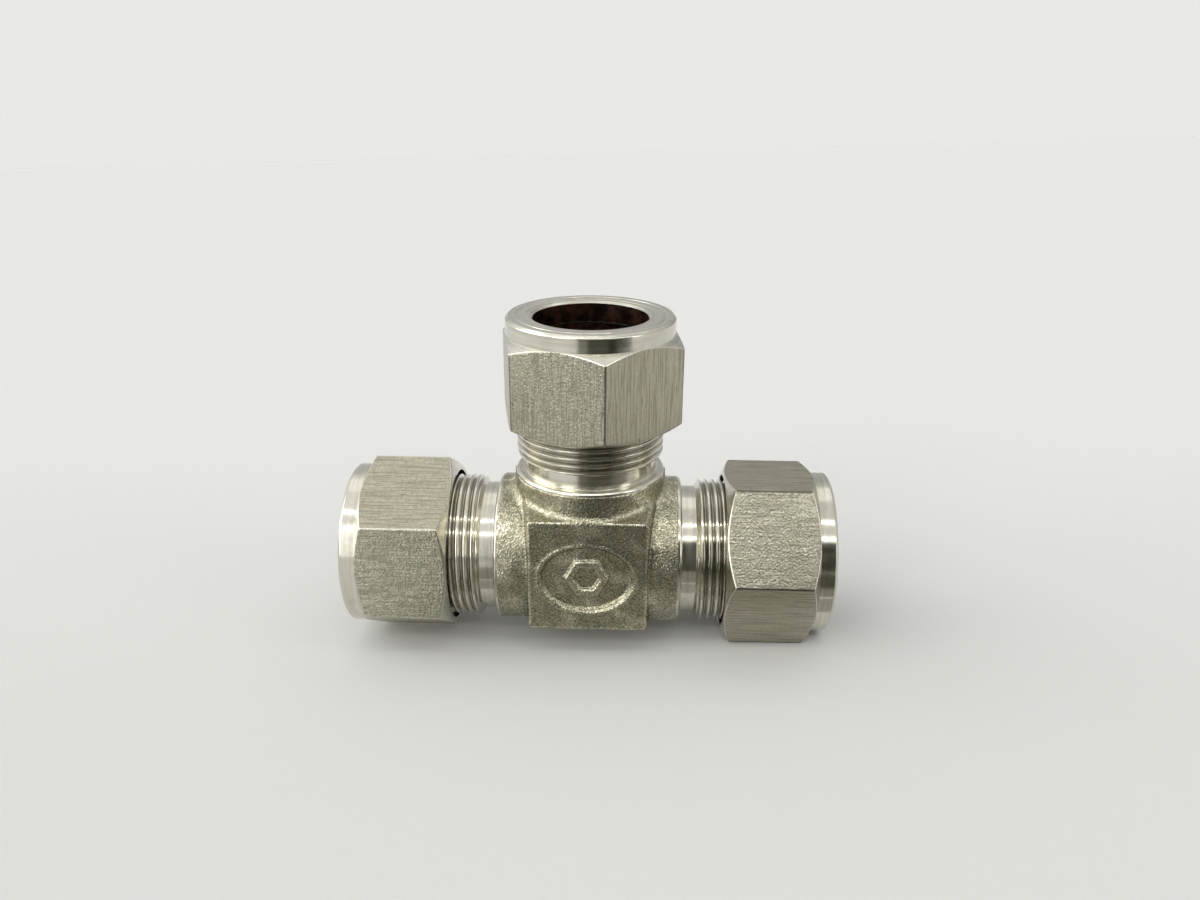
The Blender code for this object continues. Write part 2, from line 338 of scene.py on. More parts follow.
def tool_lines(tree):
    """Place along and across the tool's lines, in millimetres."""
    node = new_node(tree, "ShaderNodeUVMap", uv_map="tool_lines")
    return split(tree, node.outputs[0])


def attribute(tree, name):
    node = new_node(tree, "ShaderNodeAttribute", attribute_name=name)
    return node.outputs["Fac"]


def forged_steel():
    """Pickled and blasted forging: a grey-olive skin of coarse grains, darker in its hollows, and
    bright on worn edges, where a highlight is painted as well.
    """
    material, tree, shader, place = metal("forged_steel")
    edge = attribute(tree, "edge")
    hollow = attribute(tree, "hollow")
    grains = cells(tree, place, 2.6)
    fine = noise(tree, place, 4.5, 3.0, 0.7)
    patches = noise(tree, place, 0.32, 3.0, 0.55)
    freckles = noise(tree, place, 2.2, 2.0, 0.6)
    glints = split(tree, cells(tree, place, 4.2)["Color"])[0]
    tone = mix_colours(
        tree,
        ramp(tree, patches, 0.35, 0.65),
        (0.36, 0.35, 0.255, 1),
        (0.42, 0.395, 0.29, 1),
    )
    freckled = ramp(tree, freckles, 0.60, 0.44, 0.0, 0.28)
    tone = mix_colours(tree, freckled, tone, (0.27, 0.26, 0.19, 1))
    # darker in the hollows
    tone = mix_colours(tree, maths(tree, "MULTIPLY", hollow, 0.55), tone, (0.17, 0.155, 0.105, 1))
    # bright on worn edges and on the rubbed lip and ring, with a painted highlight along the edges
    tone = mix_colours(tree, maths(tree, "MULTIPLY", edge, 0.85), tone, (0.72, 0.69, 0.56, 1))
    sparkle = ramp(tree, glints, 0.0, 1.0, 0.55, 1.5, smooth=False)
    sparkle = combine(tree, sparkle, sparkle, sparkle)
    tone = mix_colours(tree, 1.0, tone, sparkle, "MULTIPLY")
    tree.links.new(tone, shader.inputs["Base Color"])
    rough = ramp(tree, patches, 0.3, 0.7, 0.24, 0.31)
    rough = maths(tree, "SUBTRACT", rough, maths(tree, "MULTIPLY", edge, 0.06))
    rough = maths(tree, "ADD", rough, ramp(tree, glints, 0.0, 1.0, 0.08, -0.08, smooth=False))
    tree.links.new(rough, shader.inputs["Roughness"])
    height = maths(tree, "ADD", maths(tree, "MULTIPLY", grains["Distance"], 0.9), fine)
    tree.links.new(bump(tree, height, 0.06 * MM), shader.inputs["Normal"])
    return material


def turned_steel():
    """Lathe-turned steel: feed lines round the axis, bright and a little smeared."""
    material, tree, shader, place = metal("turned_steel", anisotropic=0.8)
    along, across, _ = tool_lines(tree)
    turn = maths(tree, "DIVIDE", along, LINE_RADIUS)
    round_x = maths(tree, "COSINE", turn)
    round_y = maths(tree, "SINE", turn)
    lines_at = combine(tree, maths(tree, "MULTIPLY", across, 7.0), round_x, round_y)
    lines = noise(tree, lines_at, 1.0, 3.0, 0.6)
    feeds_at = combine(tree, maths(tree, "MULTIPLY", across, 1.6), round_x, round_y)
    feeds = noise(tree, feeds_at, 1.0, 2.0, 0.5)
    haze = noise(tree, place, 0.5, 3.0, 0.6)
    tone = mix_colours(
        tree, ramp(tree, feeds, 0.3, 0.7), (0.60, 0.58, 0.49, 1), (0.72, 0.70, 0.62, 1)
    )
    tone = mix_colours(tree, ramp(tree, haze, 0.5, 0.75, 0.0, 0.5), tone, (0.50, 0.47, 0.38, 1))
    # darker towards the thread's roots
    root_dark = ramp(tree, attribute(tree, "hollow"), 0.3, 1.0, 0.0, 0.6)
    tone = mix_colours(tree, root_dark, tone, (0.15, 0.135, 0.10, 1))
    tree.links.new(tone, shader.inputs["Base Color"])
    tree.links.new(ramp(tree, haze, 0.3, 0.7, 0.15, 0.23), shader.inputs["Roughness"])
    height = maths(tree, "ADD", lines, maths(tree, "MULTIPLY", feeds, 0.8))
    tree.links.new(bump(tree, height, 0.007 * MM), shader.inputs["Normal"])
    return material


def hexagon_steel():
    """Cold-drawn hexagon bar: fine lines along the nut, coarse and mottled on some flats."""
    material, tree, shader, place = metal("hexagon_steel", anisotropic=0.35)
    along, across, _ = tool_lines(tree)
    grain = attribute(tree, "grain")
    edge = attribute(tree, "edge")
    drawn_at = combine(
        tree, maths(tree, "MULTIPLY", across, 3.0), maths(tree, "MULTIPLY", along, 0.12), 0.0
    )
    drawn = noise(tree, drawn_at, 1.0, 2.0, 0.7)
    speckle = noise(tree, place, 3.0, 2.0, 0.7)
    crystals = cells(tree, place, 2.8)["Distance"]
    patches = noise(tree, place, 0.28, 3.0, 0.6)
    nick_at = combine(
        tree, maths(tree, "MULTIPLY", across, 1.1), maths(tree, "MULTIPLY", along, 0.3), 3.0
    )
    nicks = ramp(tree, noise(tree, nick_at, 1.0, 2.0, 0.5), 0.69, 0.73)
    tone = mix_colours(
        tree, ramp(tree, patches, 0.35, 0.65), (0.47, 0.445, 0.35, 1), (0.51, 0.465, 0.37, 1)
    )
    grains = split(tree, cells(tree, place, 3.8)["Color"])[0]
    grains = maths(tree, "MULTIPLY", grains, 0.6)
    grains = maths(tree, "ADD", grains, maths(tree, "MULTIPLY", speckle, 0.4))
    grains = ramp(tree, grains, 0.2, 0.8, smooth=False)
    coarse_tone = mix_colours(tree, grains, (0.28, 0.275, 0.21, 1), (0.60, 0.58, 0.46, 1))
    tone = mix_colours(tree, grain, tone, coarse_tone)
    tone = mix_colours(tree, ramp(tree, drawn, 0.56, 0.41, 0.0, 0.65), tone, (0.27, 0.255, 0.20, 1))
    tone = mix_colours(tree, maths(tree, "MULTIPLY", nicks, 0.6), tone, (0.22, 0.21, 0.16, 1))
    # worn corners with a painted highlight, and corners darkened by painted shade
    bright = maths(tree, "MULTIPLY", edge, 0.6, clamp=True)
    tone = mix_colours(tree, bright, tone, (0.74, 0.72, 0.61, 1))
    dark = maths(tree, "MULTIPLY", edge, -0.8, clamp=True)
    tone = mix_colours(tree, dark, tone, (0.11, 0.105, 0.08, 1))
    tree.links.new(tone, shader.inputs["Base Color"])
    tree.links.new(ramp(tree, patches, 0.3, 0.7, 0.28, 0.38), shader.inputs["Roughness"])
    coarse = maths(tree, "ADD", speckle, crystals)
    coarse = maths(tree, "MULTIPLY", coarse, maths(tree, "MULTIPLY", grain, 0.7))
    height = maths(tree, "ADD", maths(tree, "MULTIPLY", drawn, 0.35), coarse)
    height = maths(tree, "SUBTRACT", height, nicks)
    tree.links.new(bump(tree, height, 0.08 * MM), shader.inputs["Normal"])
    return material


def dark_bore():
    """Near-black red-brown metal for the walls of the tube's hole."""
    material, tree, shader, place = metal("dark_bore", metallic=0.35)
    streaks = noise(tree, place, 0.45, 3.0, 0.6)
    tone = mix_colours(
        tree, ramp(tree, streaks, 0.42, 0.68), (0.005, 0.002, 0.001, 1), (0.04, 0.011, 0.004, 1)
    )
    tree.links.new(tone, shader.inputs["Base Color"])
    tree.links.new(ramp(tree, streaks, 0.3, 0.7, 0.25, 0.4), shader.inputs["Roughness"])
    ripples = noise(tree, place, 2.0, 3.0, 0.6)
    tree.links.new(bump(tree, ripples, 0.02 * MM), shader.inputs["Normal"])
    return material


# Meshes


def eased(outline, reach):
    """An outline of (radius, height) points with its corners rounded, and a point beside each
    rounding that keeps the faces between them flat."""
    points = [Vector(point) for point in outline]
    result = [points[0]]
    for before, corner, after in zip(points, points[1:], points[2:]):
        back, ahead = before - corner, after - corner
        size = min(reach, 0.3 * back.length, 0.3 * ahead.length)
        near, far = corner + back.normalized() * size, corner + ahead.normalized() * size
        result.append(corner + back.normalized() * size * 1.5)
        for k in range(EASE_STEPS + 1):
            t = k / EASE_STEPS
            result.append(near.lerp(corner, t).lerp(corner.lerp(far, t), t))
        result.append(corner + ahead.normalized() * size * 1.5)
    result.append(points[-1])
    return [tuple(point) for point in result]


def add_skin(bm, rows, angles):
    """A turned skin: one ring of vertices for each (radius, height), which may vary round the
    axis. The outside is on the left of rows that climb."""
    rings = []
    for radius, height in rows:
        r = np.broadcast_to(radius, angles.shape)
        h = np.broadcast_to(height, angles.shape)
        spots = np.stack((r * np.cos(angles), r * np.sin(angles), h), axis=1)
        rings.append([bm.verts.new(spot) for spot in spots])
    count = len(angles)
    for near, far in zip(rings, rings[1:]):
        for k in range(count):
            after = (k + 1) % count
            bm.faces.new((near[k], near[after], far[after], far[k]))
    return rings


def turned_angles():
    return np.arange(TURNED_COLUMNS) * 2 * math.pi / TURNED_COLUMNS


def bridge(bm, first, second):
    """Closes the band between two open rings."""
    edges = []
    for ring in (first, second):
        for k, vert in enumerate(ring):
            edges.append(bm.edges.get((vert, ring[(k + 1) % len(ring)])))
    bmesh.ops.bridge_loops(bm, edges=edges)


def thread_tree():
    """Geometry nodes that wrap a fine grid into a screw thread, one row after another up the
    helix, held between two chamfers."""
    tree = bpy.data.node_groups.new("screw_thread", "GeometryNodeTree")
    inputs = (
        ("Pitch", "NodeSocketFloat"),
        ("Root Radius", "NodeSocketFloat"),
        ("Crest Radius", "NodeSocketFloat"),
        ("Low", "NodeSocketFloat"),
        ("Low Radius", "NodeSocketFloat"),
        ("High", "NodeSocketFloat"),
        ("High Radius", "NodeSocketFloat"),
        ("Chamfer", "NodeSocketFloat"),
        ("Side", "NodeSocketFloat"),
        ("First Turn", "NodeSocketInt"),
        ("Turns", "NodeSocketInt"),
        ("Rows in a Turn", "NodeSocketInt"),
        ("Columns", "NodeSocketInt"),
        ("Material", "NodeSocketMaterial"),
    )
    for name, kind in inputs:
        tree.interface.new_socket(name, in_out="INPUT", socket_type=kind)
    tree.interface.new_socket("Thread", in_out="OUTPUT", socket_type="NodeSocketGeometry")
    given = new_node(tree, "NodeGroupInput").outputs
    grid = new_node(tree, "GeometryNodeMeshGrid")
    feed(tree, grid.inputs["Size X"], 1.0)
    feed(tree, grid.inputs["Size Y"], given["Turns"])
    columns = maths(tree, "ADD", given["Columns"], 1.0)
    rows = maths(tree, "MULTIPLY_ADD", given["Turns"], given["Rows in a Turn"], 1.0)
    feed(tree, grid.inputs["Vertices X"], columns)
    feed(tree, grid.inputs["Vertices Y"], rows)
    spot = split(tree, new_node(tree, "GeometryNodeInputPosition").outputs[0])
    turn = maths(tree, "ADD", spot[0], 0.5)
    half = maths(tree, "MULTIPLY", given["Turns"], 0.5)
    row = maths(tree, "ADD", maths(tree, "ADD", spot[1], half), given["First Turn"])
    climb = maths(tree, "MULTIPLY", maths(tree, "ADD", row, turn), given["Pitch"])
    height = maths(tree, "MINIMUM", maths(tree, "MAXIMUM", climb, given["Low"]), given["High"])

    # 0 at the root and 1 at the crest, flat for a part of the pitch at each and round between
    phase = maths(tree, "PINGPONG", row, 0.5)
    lift = ramp(tree, phase, 1 / 24, 10 / 24)
    depth = maths(tree, "SUBTRACT", given["Crest Radius"], given["Root Radius"])
    thread = maths(tree, "MULTIPLY_ADD", lift, depth, given["Root Radius"])

    slope = maths(tree, "DIVIDE", given["Side"], given["Chamfer"])
    from_low = maths(tree, "SUBTRACT", height, given["Low"])
    to_high = maths(tree, "SUBTRACT", given["High"], height)
    low_limit = maths(tree, "MULTIPLY_ADD", from_low, slope, given["Low Radius"])
    high_limit = maths(tree, "MULTIPLY_ADD", to_high, slope, given["High Radius"])
    kept = maths(tree, "MULTIPLY", thread, given["Side"])
    for limit in (low_limit, high_limit):
        kept = maths(tree, "MINIMUM", kept, maths(tree, "MULTIPLY", limit, given["Side"]))
    radius = maths(tree, "MULTIPLY", kept, given["Side"])

    angle = maths(tree, "MULTIPLY", turn, 2 * math.pi)
    x = maths(tree, "MULTIPLY", radius, maths(tree, "COSINE", angle))
    y = maths(tree, "MULTIPLY", radius, maths(tree, "SINE", angle))
    moved = new_node(tree, "GeometryNodeSetPosition")
    feed(tree, moved.inputs["Geometry"], grid.outputs["Mesh"])
    feed(tree, moved.inputs["Position"], combine(tree, x, y, height))
    welded = new_node(tree, "GeometryNodeMergeByDistance")
    feed(tree, welded.inputs["Geometry"], moved.outputs[0])
    feed(tree, welded.inputs["Distance"], WELD)
    real = new_node(tree, "GeometryNodeRealizeInstances")
    feed(tree, real.inputs[0], welded.outputs[0])
    painted = new_node(tree, "GeometryNodeSetMaterial")
    feed(tree, painted.inputs["Geometry"], real.outputs[0])
    feed(tree, painted.inputs["Material"], given["Material"])
    out = new_node(tree, "NodeGroupOutput")
    feed(tree, out.inputs[0], painted.outputs[0])
    return tree


def add_thread(bm, tree, material, low, high, gap=0.0, side=1.0):
    """Runs the screw thread tree and adds its mesh, between the chamfers that start at low and
    high, each a height and a radius. Side is 1 outside and -1 inside."""
    low, low_radius = low
    high, high_radius = high
    first = math.floor(low / PITCH) - 1
    values = {
        "Pitch": PITCH,
        "Root Radius": ROOT_R + gap,
        "Crest Radius": CREST_R + gap,
        "Low": low,
        "Low Radius": low_radius,
        "High": high,
        "High Radius": high_radius,
        "Chamfer": THREAD_CHAMFER,
        "Side": side,
        "First Turn": first,
        "Turns": math.ceil(high / PITCH) - first + 1,
        "Rows in a Turn": THREAD_STEPS,
        "Columns": TURNED_COLUMNS,
        "Material": material,
    }
    obj = bpy.data.objects.new("thread_blank", bpy.data.meshes.new("thread_blank"))
    bpy.context.scene.collection.objects.link(obj)
    modifier = obj.modifiers.new("screw thread", "NODES")
    modifier.node_group = tree
    for item in tree.interface.items_tree:
        if item.in_out == "INPUT":
            modifier[item.identifier] = values[item.name]
    evaluated = obj.evaluated_get(bpy.context.evaluated_depsgraph_get())
    mesh = bpy.data.meshes.new_from_object(evaluated)
    bm.from_mesh(mesh)
    bpy.data.objects.remove(obj)
    bpy.data.meshes.remove(mesh)


def vertex_places(mesh):
    """The mesh's vertices, one row of x, y and z for each."""
    spots = np.empty(len(mesh.vertices) * 3, np.float32)
    mesh.vertices.foreach_get("co", spots)
    return spots.reshape(-1, 3)


def corner_facts(mesh):
    """The place of each face corner, the centre and the normal of each face, and the number
    of each corner's face."""
    spots = vertex_places(mesh).astype(float)
    vertex = np.empty(len(mesh.loops), np.int32)
    mesh.loops.foreach_get("vertex_index", vertex)
    sides = np.empty(len(mesh.polygons), np.int32)
    mesh.polygons.foreach_get("loop_total", sides)
    centres = np.empty(len(mesh.polygons) * 3, np.float32)
    mesh.polygons.foreach_get("center", centres)
    normals = np.empty(len(mesh.polygons) * 3, np.float32)
    mesh.polygons.foreach_get("normal", normals)
    face = np.repeat(np.arange(len(sides)), sides)
    centres = centres.reshape(-1, 3).astype(float)
    normals = normals.reshape(-1, 3).astype(float)
    return spots[vertex], centres, normals, face


def lay_tool_lines(mesh, flats=None, flat_turn=0.0):
    """Gives a mesh drawn about Z its UV map: U along the tool's lines and V across them, in
    millimetres. The lines go round, but along the axis on the faces in flats."""
    spots, centres, normals, face = corner_facts(mesh)
    middle = np.arctan2(centres[:, 1], centres[:, 0])[face]
    angle = np.arctan2(spots[:, 1], spots[:, 0]) - middle
    angle = middle + (angle + math.pi) % (2 * math.pi) - math.pi
    radius = np.hypot(spots[:, 0], spots[:, 1])
    outwards = (normals[face, 0] * np.cos(middle)) + (normals[face, 1] * np.sin(middle))
    u = angle * LINE_RADIUS
    v = spots[:, 2] * outwards - radius * normals[face, 2]
    if flats is not None:
        sector = np.floor((middle - flat_turn) / (math.pi / 3))
        facing = flat_turn + (sector + 0.5) * math.pi / 3
        sideways = spots[:, 1] * np.cos(facing) - spots[:, 0] * np.sin(facing)
        on_flat = flats[face]
        u = np.where(on_flat, spots[:, 2], u)
        v = np.where(on_flat, sideways + sector * FLAT_APART, v)
    layer = mesh.uv_layers.new(name="tool_lines")
    layer.data.foreach_set("uv", np.stack((u, v), axis=1).astype(np.float32).ravel())


def give_attribute(mesh, name, values):
    layer = mesh.attributes.new(name, "FLOAT", "POINT")
    layer.data.foreach_set("value", np.asarray(values, np.float32))


def finish_mesh(name, bm):
    """Welds and turns outwards a drawn mesh."""
    bmesh.ops.remove_doubles(bm, verts=bm.verts, dist=WELD)
    bmesh.ops.recalc_face_normals(bm, faces=bm.faces)
    mesh = bpy.data.meshes.new(name)
    bm.to_mesh(mesh)
    bm.free()
    mesh.shade_smooth()
    mesh.set_sharp_from_angle(angle=SHARP_ANGLE)
    return mesh


def place_piece(mesh, matrix, body, nodes):
    mesh.transform(matrix)
    obj = bpy.data.objects.new(mesh.name, mesh)
    bpy.context.scene.collection.objects.link(obj)
    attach(obj, body)
    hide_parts(*nodes)


# Forged body, as a field: negative in the steel, near to millimetres from its skin


def smooth_step(value):
    t = np.clip(value, 0, 1)
    return t * t * (3 - 2 * t)


def rounded_union(a, b, radius):
    """Two fields joined with a fillet."""
    near_a = np.maximum(radius - a, 0)
    near_b = np.maximum(radius - b, 0)
    return np.maximum(radius, np.minimum(a, b)) - np.hypot(near_a, near_b)


def rounded_cut(a, b, radius):
    """What is inside both fields, with the edge between them rounded."""
    return -rounded_union(-a, -b, radius)


def pad_sides(x, y, z):
    """The drafted sides of the pads, the way that the nearest one faces, and the fillet at
    its foot."""
    grow = (PAD_Y - np.abs(y)) * DRAFT
    lean = 1 / math.hypot(1, DRAFT)
    side_x = (np.abs(x - sum(PAD_X) / 2) - (PAD_X[1] - PAD_X[0]) / 2 - grow) * lean
    side_z = (np.abs(z - sum(PAD_Z) / 2) - (PAD_Z[1] - PAD_Z[0]) / 2 - grow) * lean
    on_x = side_x > side_z
    facing_x = np.where(on_x, np.sign(x), 0) * lean
    facing_z = np.where(on_x, 0, np.sign(z)) * lean
    facing_y = np.sign(y) * DRAFT * lean
    at_top = smooth_step(side_z - side_x + 0.5)
    fillet = PAD_SIDE_FILLET + (PAD_TOP_FILLET - PAD_SIDE_FILLET) * at_top
    return rounded_cut(side_x, side_z, PAD_CORNER_R), (facing_x, facing_y, facing_z), fillet


def forged_outside(x, y, z):
    """Run, branch and drafted pads, filleted where they meet at an angle."""
    run_r = np.maximum(np.hypot(y, z), 1e-6)
    branch_r = np.maximum(np.sqrt(x * x + y * y + np.minimum(z, 0) ** 2), 1e-6)
    run, branch = run_r - NECK_R, branch_r - NECK_R
    turn = np.clip(1 - (y * y + np.minimum(z, 0) * z) / (run_r * branch_r), 0, 1)
    tee = rounded_union(run, branch, CROTCH_FILLET * turn)
    pads, (facing_x, facing_y, facing_z), fillet = pad_sides(x, y, z)
    along_run = (facing_y * y + facing_z * z) / run_r
    along_branch = (facing_x * x + facing_y * y) / branch_r
    along = np.where(run < branch, along_run, along_branch)
    return rounded_union(tee, pads, fillet * np.clip(1 - along, 0, 1))


def oval_shape(x, z):
    """How far the oval is sunk, and how much of the lip round it is here, from 0 to 1."""
    oval = np.hypot(x / (OVAL_WIDE / 2), (z - OVAL_Z) / (OVAL_TALL / 2))
    inward = (1 - oval) * OVAL_TALL / 2
    sunk = OVAL_DEEP * smooth_step(inward / OVAL_WALL)
    return sunk, np.exp(-(((inward + LIP_WIDE) / LIP_WIDE) ** 2))


def mark_shape(x, z):
    """How much of the raised hexagon ring is here, from 0 to 1."""
    lifted = z - OVAL_Z
    slant = math.cos(math.radians(30))
    flats = (np.abs(lifted), np.abs(x * slant + lifted / 2), np.abs(x * slant - lifted / 2))
    hexagon = np.maximum.reduce(flats)
    middle = (MARK_OUTER_R + MARK_INNER_R) / 2 * slant
    width = (MARK_OUTER_R - MARK_INNER_R) / 2 * slant
    return smooth_step((width - np.abs(hexagon - middle)) / MARK_WALL + 0.5)


def pad_face(x, y, z):
    """Front and back faces of the pads. The front one has the oval, with a lip round it and
    the hexagon ring in it."""
    flat = np.abs(y) - PAD_Y
    sunk, lip = oval_shape(x, z)
    front = flat + sunk - LIP_TALL * lip - MARK_TALL * mark_shape(x, z)
    return np.where(y < 0, front, flat)


def flow_bores(x, y, z):
    branch = np.sqrt(x * x + y * y + np.minimum(z, 0) ** 2) - BRANCH_FLOW_R
    return np.minimum(np.hypot(y, z) - FLOW_R, branch)


def forged_blank(x, y, z, roughen=None):
    """The forging before its ends are faced and its bores are drilled."""
    outside = forged_outside(x, y, z)
    outline = forged_outside(x, 0 * y, z)
    flash = rounded_cut(outline - FLASH_HEIGHT, np.abs(y) - FLASH_HALF_WIDTH, FLASH_EDGE_R)
    outside = rounded_union(outside, flash, FLASH_FILLET)
    steel = rounded_cut(outside, pad_face(x, y, z), PAD_EDGE_R)
    if roughen is not None:
        steel = steel + roughen(x, y, z)
    return steel


def forged_field(x, y, z, roughen=None):
    ends = np.maximum(np.abs(x), z) - FORGED_END
    steel = rounded_cut(forged_blank(x, y, z, roughen), ends, FACED_EDGE_R)
    return rounded_cut(steel, -flow_bores(x, y, z), BORE_EDGE_R)


def field_slope(field, points):
    """The field at some points and its slope there."""
    step = 0.01
    slope = np.empty_like(points)
    for axis in range(3):
        shift = np.zeros(3)
        shift[axis] = step
        ahead = field(*(points + shift).T)
        behind = field(*(points - shift).T)
        slope[:, axis] = (ahead - behind) / (2 * step)
    return field(*points.T), slope


def onto_skin(field, points, rounds):
    """Moves points to where the field is zero."""
    for _ in range(rounds):
        value, slope = field_slope(field, points)
        size = np.maximum((slope**2).sum(axis=1), 0.05)
        points = points - slope * np.clip(value / size, -0.3, 0.3)[:, None]
    return points


def onto_end_edges(blank, points, reach):
    """Moves points near the rims of the faced ends onto them, so that the rims are crisp."""
    far = np.maximum(np.abs(points[:, 0]), points[:, 2]) - FORGED_END
    rim = (np.abs(far) < reach) & (np.abs(blank(*points.T)) < reach)
    at_x = np.abs(points[rim, 0]) > points[rim, 2]
    for _ in range(4):
        moved = onto_skin(blank, points[rim], 1)
        moved[at_x, 0] = np.sign(moved[at_x, 0]) * FORGED_END
        moved[~at_x, 2] = FORGED_END
        points[rim] = moved
    return points


def forged_roughness():
    """Slow waves and small dents of a forging's skin."""
    random = np.random.default_rng(20)
    waves = random.normal(size=(14, 3))
    waves *= (random.uniform(0.5, 1.9, size=14) / np.linalg.norm(waves, axis=1))[:, None]
    phases = random.uniform(0, 2 * math.pi, size=14)
    low, high = np.array((-14, -14, -12)), np.array((14, 14, 14))
    dents = onto_skin(forged_field, random.uniform(low, high, size=(DENTS, 3)), rounds=25)
    sizes = random.uniform(0.18, 0.45, size=DENTS)
    depths = random.uniform(0.03, 0.09, size=DENTS)

    def roughen(x, y, z):
        total = np.zeros_like(x)
        for wave, phase in zip(waves, phases):
            total += UNEVEN * np.sin(wave[0] * x + wave[1] * y + wave[2] * z + phase)
        for dent, size, depth in zip(dents, sizes, depths):
            away = (x - dent[0]) ** 2 + (y - dent[1]) ** 2 + (z - dent[2]) ** 2
            total += depth * np.exp(-away / (2 * size**2))
        return total

    return roughen


def net_of(field, low, high, cell):
    """Points and quads of the skin where the field changes sign, one point in each grid cell
    that it passes through."""
    axes = [np.arange(a, b + cell, cell) for a, b in zip(low, high)]
    inside = field(*np.meshgrid(*axes, indexing="ij")) < 0
    count = sum(
        inside[i : i - 1 or None, j : j - 1 or None, k : k - 1 or None].astype(np.int8)
        for i in (0, 1)
        for j in (0, 1)
        for k in (0, 1)
    )
    crossed = (count > 0) & (count < 8)
    number = np.full(crossed.shape, -1, np.int64)
    number[crossed] = np.arange(crossed.sum())
    points = np.array(low) + (np.argwhere(crossed) + 0.5) * cell
    quads = []
    for axis in range(3):
        turned = np.moveaxis(inside, (axis, (axis + 1) % 3, (axis + 2) % 3), (0, 1, 2))
        numbers = np.moveaxis(number, (axis, (axis + 1) % 3, (axis + 2) % 3), (0, 1, 2))
        starts = turned[:-1, 1:-1, 1:-1]
        change = starts != turned[1:, 1:-1, 1:-1]
        i, j, k = np.nonzero(change)
        square = [numbers[i, j + a, k + b] for a, b in ((0, 0), (1, 0), (1, 1), (0, 1))]
        square = np.stack(square, axis=1)
        outward = starts[i, j, k]
        quads.append(np.where(outward[:, None], square, square[:, ::-1]))
    return points, np.concatenate(quads)


def evened(points, quads):
    """Each point drawn to the middle of its neighbours."""
    total = np.zeros_like(points)
    count = np.zeros(len(points))
    for k in range(4):
        here, after = quads[:, k], quads[:, (k + 1) % 4]
        np.add.at(total, here, points[after])
        np.add.at(total, after, points[here])
        np.add.at(count, here, 1)
        np.add.at(count, after, 1)
    return (points + total / count[:, None]) / 2


def make_forged_body(material, bore_material):
    roughen = forged_roughness()

    def skin(x, y, z):
        return forged_field(x, y, z, roughen)

    def blank(x, y, z):
        return forged_blank(x, y, z, roughen)

    points, quads = net_of(forged_field, FORGED_LOW, FORGED_HIGH, FORGED_CELL)
    for _ in range(2):
        points = evened(onto_skin(forged_field, points, 3), quads)
    points = onto_skin(skin, points, 5)
    points = onto_end_edges(blank, points, FORGED_CELL * 0.55)
    mesh = bpy.data.meshes.new("forged_body")
    mesh.from_pydata(points.tolist(), [], quads.tolist())
    mesh.shade_smooth()

    # worn edges, which also carry a painted highlight, stand out when the skin is felt from inside,
    # and the hollows that are darkened when felt from outside
    _, slope = field_slope(forged_blank, points)
    slope /= np.maximum(np.linalg.norm(slope, axis=1), 1e-6)[:, None]
    under = forged_blank(*(points - slope * EDGE_FEEL).T) / EDGE_FEEL + 1
    over = 1 - forged_blank(*(points + slope * HOLLOW_FEEL).T) / HOLLOW_FEEL
    x, y, z = points.T
    rubbed = np.maximum(oval_shape(x, z)[1], mark_shape(x, z)) * (y < -PAD_Y + 1)
    worn_and_sheen = np.clip(under * EDGE_GAIN - EDGE_CUT, 0, 1)
    give_attribute(mesh, "edge", np.maximum(worn_and_sheen, rubbed * RUBBED))
    give_attribute(mesh, "hollow", np.clip(over * HOLLOW_GAIN - HOLLOW_CUT, 0, 1))
    mesh.materials.append(material)
    mesh.materials.append(bore_material)
    in_bore = (flow_bores(*points.T) < 0.15).astype(np.int32)
    bored = in_bore[quads].min(axis=1)
    mesh.polygons.foreach_set("material_index", bored)
    mesh.update()
    place_piece(mesh, body_matrix(), "tee_body", ["tee_body"])


def give_materials(mesh, materials, choice):
    """Gives a mesh its materials, and each face the one that choice numbers."""
    mesh.materials.clear()
    for material in materials:
        mesh.materials.append(material)
    mesh.polygons.foreach_set("material_index", choice.astype(np.int32))


def darken_inside(mesh, materials):
    """Plain metal, with the near-black bore metal on the passage's wall where the tube goes."""
    _, centres, _, _ = corner_facts(mesh)
    inside = np.hypot(centres[:, 0], centres[:, 1]) < SOCKET_R + 0.05
    give_materials(mesh, materials, inside)


def darken_roots(mesh):
    """Marks the roots of a threaded end's thread, which the turned steel darkens."""
    x, y, height = vertex_places(mesh).T
    depth = (CREST_R - np.hypot(x, y)) / (CREST_R - ROOT_R)
    threaded = (height > RELIEF_END + UNDARKENED_START) & (height < BODY_END - UNDARKENED_END)
    threaded &= depth < 1.1
    give_attribute(mesh, "hollow", np.clip(depth, 0, 1) * threaded)


